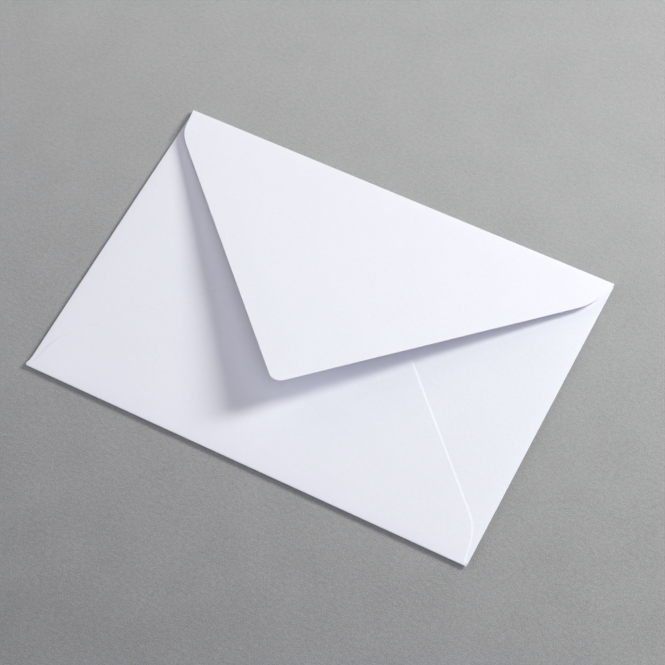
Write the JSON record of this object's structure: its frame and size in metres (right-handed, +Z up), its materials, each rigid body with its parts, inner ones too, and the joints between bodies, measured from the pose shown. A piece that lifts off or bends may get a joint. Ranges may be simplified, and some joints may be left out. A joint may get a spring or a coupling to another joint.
{
  "type": "paper envelope",
  "caption": "Plain white rectangular paper envelope with a pointed flap, unsealed and sprung slightly open, lying with its address side down.",
  "frame": {"origin": "middle of the closed envelope's footprint, on the surface that the address panel lies on", "axes": "+X along the bottom fold, +Y towards the fold of the top flap, +Z up out of the back"},
  "size_m": [0.162, 0.114, 0.0136],
  "materials": {
    "paper": "matte"
  },
  "bodies": {
    "root": {"envelope": "paper"}
  },
  "joints": []
}
